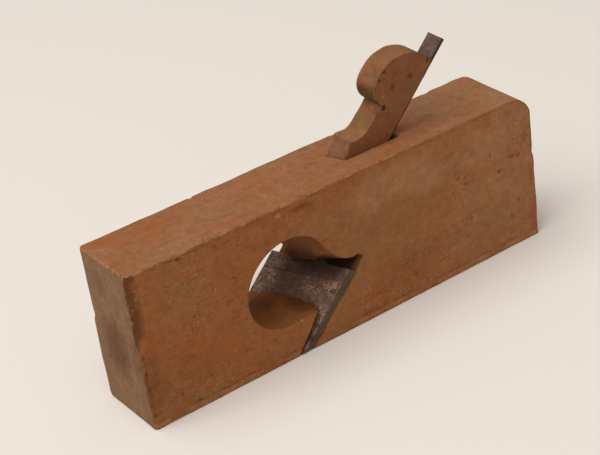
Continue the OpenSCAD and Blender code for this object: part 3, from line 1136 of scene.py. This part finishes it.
LAID_STEEL = IronFinish(
    name="stained_laid_steel",
    rust=(0.200, 0.109, 0.068),
    deep=(0.045, 0.022, 0.013),
    bare=(0.350, 0.215, 0.145),
    bare_share=(0.56, 0.66),
    dark_above=500.0,
    # The first is painted shadow under the roof, the second blurs the steel's upper edge, and the rest are
    # painted shade along the near edge in the mouth's gap.
    stains_and_shade=(
        Mark(STAIN_AND_SHADE, (-10.5, -9, 31.5), (10, 14, 5), 0.8),
        Mark(STAIN_AND_SHADE, (-21.6, 12, 28), (5, 9, 3.2), 0.3),
        Mark(STAIN_AND_SHADE, (-12.1, -19.1, 24.3), (3, 3.5, 2.4), 0.8),
        Mark(STAIN_AND_SHADE, (-24.5, -20.2, 11.7), (2.6, 4, 3.4), 0.8),
        Mark(STAIN_AND_SHADE, (-28.5, -21, 6), (2.4, 4, 2.4), 0.85),
        Mark(STAIN_AND_SHADE, (-30.5, -17, 4.5), (6, 3, 6), 0.8),
        Mark(STAIN_AND_SHADE, (-22, -16.5, 13), (4, 2.2, 5), 0.7),
        Mark(STAIN_AND_SHADE, (-33.8, -18, 2), (2.6, 4, 2.4), 0.7),
    ),
    bare_at_sides=0.10,
    blotch=0.35,
)


@dataclass
class Stock(WornPiece):
    """The beech block with its bed, mouth, escapement and wedge slot."""

    name: str = "worn_stock"
    node: str = "stock"
    body: str = "stock"
    slot: str = "stock_wood"
    passes: int = 8
    least_wear: float = 0.15
    patch: float = 8 * MM
    wear_depth: float = 0.3 * MM
    uneven: float = 0.22 * MM
    wave: float = 14 * MM
    finish: WoodFinish = STOCK_BEECH
    dents: tuple[Spot, ...] = (
        Spot((-120.8, -21.2, 82.8), (2.6, 2, 1.5)),
        Spot((-120.9, -11.5, 82.9), (1.2, 1.8, 1.2)),
        Spot((-120.9, -2.5, 82.9), (1, 1.3, 1)),
        Spot((-120.9, 8, 82.9), (1.1, 1.6, 1)),
        Spot((-120.8, 21.2, 82.8), (2.2, 1.6, 1.5)),
        Spot((-93, -21.4, 82.7), (2.2, 1.1, 1.3)),
        Spot((-68, -21.4, 82.8), (3, 1, 1)),
        Spot((-46, -21.5, 82.6), (4, 1.3, 1.6)),
        Spot((-25, -21.5, 82.7), (6, 1.2, 1.3)),
        Spot((42, -21.5, 82.8), (3, 1.1, 1.1)),
        Spot((77, -21.4, 28.8), (2.2, 0.7, 0.7)),
        Spot((-33.5, -21.3, 18.4), (1.3, 1, 1.1)),
        Spot((-24.4, -21.3, 19.2), (1, 0.9, 0.9)),
        Spot((-87, -21.4, 14), (1.6, 0.9, 1.4)),
        Spot((91, -21.4, 57.7), (1, 0.8, 1.6)),
        Spot((-60, 21.4, 82.8), (3.5, 1.1, 1.2)),
        Spot((25, 21.4, 82.7), (2.5, 1.2, 1.1)),
        Spot((86, 21.4, 82.7), (3, 1.2, 1.3)),
        Spot((120.8, -6, 36), (0.7, 1.6, 1.2)),
        Spot((-121.2, -21.6, -0.4), (2.4, 2, 1.8)),
        Spot((-121.2, 21.6, -0.4), (2.2, 2.6, 2.6)),
        Spot((-15, 21.4, 62), (2, 0.8, 1)),
        Spot((52, 21.4, 31), (1.5, 0.8, 1.4)),
    )
    crisp: tuple[Spot, ...] = (
        Spot((-37, -21, 42), (27, 30, 26)),
        Spot((-10, -21, 40), (18, 30, 12)),
        Spot((-12, 0, 56), (20, 22, 18)),
        Spot((84, -21, 82.5), (42, 4, 4)),
    )


@dataclass
class Wedge(WornPiece):
    """The beech wedge with its notch and round head."""

    name: str = "worn_wedge"
    node: str = "wedge"
    body: str = "wedge"
    slot: str = "wedge_wood"
    passes: int = 9
    least_wear: float = 0.15
    patch: float = 5 * MM
    wear_depth: float = 0.16 * MM
    uneven: float = 0.14 * MM
    wave: float = 8 * MM
    finish: WoodFinish = WEDGE_BEECH
    dents: tuple[Spot, ...] = (
        Spot((39.2, -7, 100), (1.3, 0.9, 1.6)),
        Spot((69.8, -7, 114.8), (1.6, 1.3, 1.5)),
        Spot((38.2, -7, 114.5), (0.9, 0.8, 1.4)),
        Spot((41.5, -7, 117.8), (1.4, 0.8, 0.8)),
    )
    crisp: tuple[Spot, ...] = (Spot((-10, -1.4, 52), (30, 14, 24)),)


@dataclass
class Blade(WornPiece):
    """The wrought-iron blade and its tang."""

    name: str = "forged_iron"
    node: str = "iron"
    body: str = "iron"
    slot: str = "wrought_iron"
    passes: int = 2
    uneven: float = 0.10 * MM
    finish: IronFinish = WROUGHT_IRON


@dataclass
class SteelFace(WornPiece):
    """The steel that is forge-welded to the blade's face."""

    name: str = "laid_steel_face"
    node: str = "cutting_steel"
    body: str = "iron"
    slot: str = "laid_steel"
    depth: int = 7
    passes: int = 1
    uneven: float = 0.06 * MM
    finish: IronFinish = LAID_STEEL


@dataclass(frozen=True)
class Studio:
    """Pale floor, soft light and the camera.

    Lengths are in metres, power is in watts and turns are in degrees about X, Y and Z. The lens and the
    sensor are in millimetres. The sky gives less light than it shows where a ray sees it.
    """

    floor_size: float = 8.0
    floor_colour: Colour = (0.840, 0.775, 0.705)
    floor_roughness: float = 0.9
    floor_drop: float = 0.05 * MM
    key_place: Point = (-1.20, -0.20, 2.40)
    key_size: float = 3.0
    key_power: float = 71.0
    sky_colour: Colour = (1.0, 0.98, 0.95)
    sky_strength: float = 0.38
    sky_seen: float = 0.85
    camera_place: Point = (-0.38059, -0.58216, 0.43602)
    camera_turn: Point = (60.700, 7.243, -36.263)
    lens: float = 97.462
    sensor: float = 36.0
    clip_start: float = 0.01

    def build(self) -> None:
        """Set the camera, the floor and the light."""
        self.build_camera()
        self.build_floor()
        self.build_light()

    def build_floor(self) -> None:
        """Lay the floor just under the sole."""
        bpy.ops.object.select_all(action="DESELECT")
        bpy.ops.mesh.primitive_plane_add(size=self.floor_size, location=(0.0, 0.0, -self.floor_drop))
        floor = bpy.context.object
        floor.name = "floor"
        material, shader = start_material("pale_floor")
        Board(material.node_tree).feed(shader.inputs["Base Color"], self.floor_colour)
        shader.inputs["Roughness"].default_value = self.floor_roughness
        shader.inputs["Specular IOR Level"].default_value = 0.0
        floor.data.materials.append(material)

    def build_light(self) -> None:
        """Hang the soft key light and set the sky."""
        bpy.ops.object.light_add(type="AREA", location=self.key_place)
        lamp = bpy.context.object
        lamp.name = "key_light"
        lamp.data.energy = self.key_power
        lamp.data.size = self.key_size
        lamp.rotation_euler = (-Vector(self.key_place)).to_track_quat("-Z", "Y").to_euler()
        world = bpy.data.worlds.new("sky")
        world.use_nodes = True
        bpy.context.scene.world = world
        board = Board(world.node_tree)
        back = world.node_tree.nodes["Background"]
        board.feed(back.inputs["Color"], self.sky_colour)
        ray = board.node("LightPath", {})
        seen = board.math("ADD", ray["Is Camera Ray"], ray["Is Glossy Ray"], clamp=True)
        seen = board.math("ADD", seen, ray["Is Transmission Ray"], clamp=True)
        strength = board.math("MULTIPLY_ADD", seen, self.sky_seen - self.sky_strength, self.sky_strength)
        board.feed(back.inputs["Strength"], strength)

    def build_camera(self) -> None:
        """Set the camera where the photograph was taken from."""
        turn = tuple(math.radians(angle) for angle in self.camera_turn)
        bpy.ops.object.camera_add(location=self.camera_place, rotation=turn)
        camera = bpy.context.object
        camera.data.sensor_width = self.sensor
        camera.data.lens = self.lens
        camera.data.clip_start = self.clip_start
        bpy.context.scene.camera = camera


def main() -> None:
    """Build the studio and the pieces."""
    logging.basicConfig(level=logging.INFO, format="%(message)s")
    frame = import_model()
    bpy.context.scene.view_settings.view_transform = "Standard"
    Studio().build()
    effects = Effects(grain_group(), speck_group(), mark_group(), arris_group())
    for part in (Stock(), Wedge(), Blade(), SteelFace()):
        piece = part.build(frame)
        piece.data.materials.append(part.finish.material(effects))
        LOG.info("%s: %d faces", piece.name, len(piece.data.polygons))


if __name__ == "__main__":
    main()
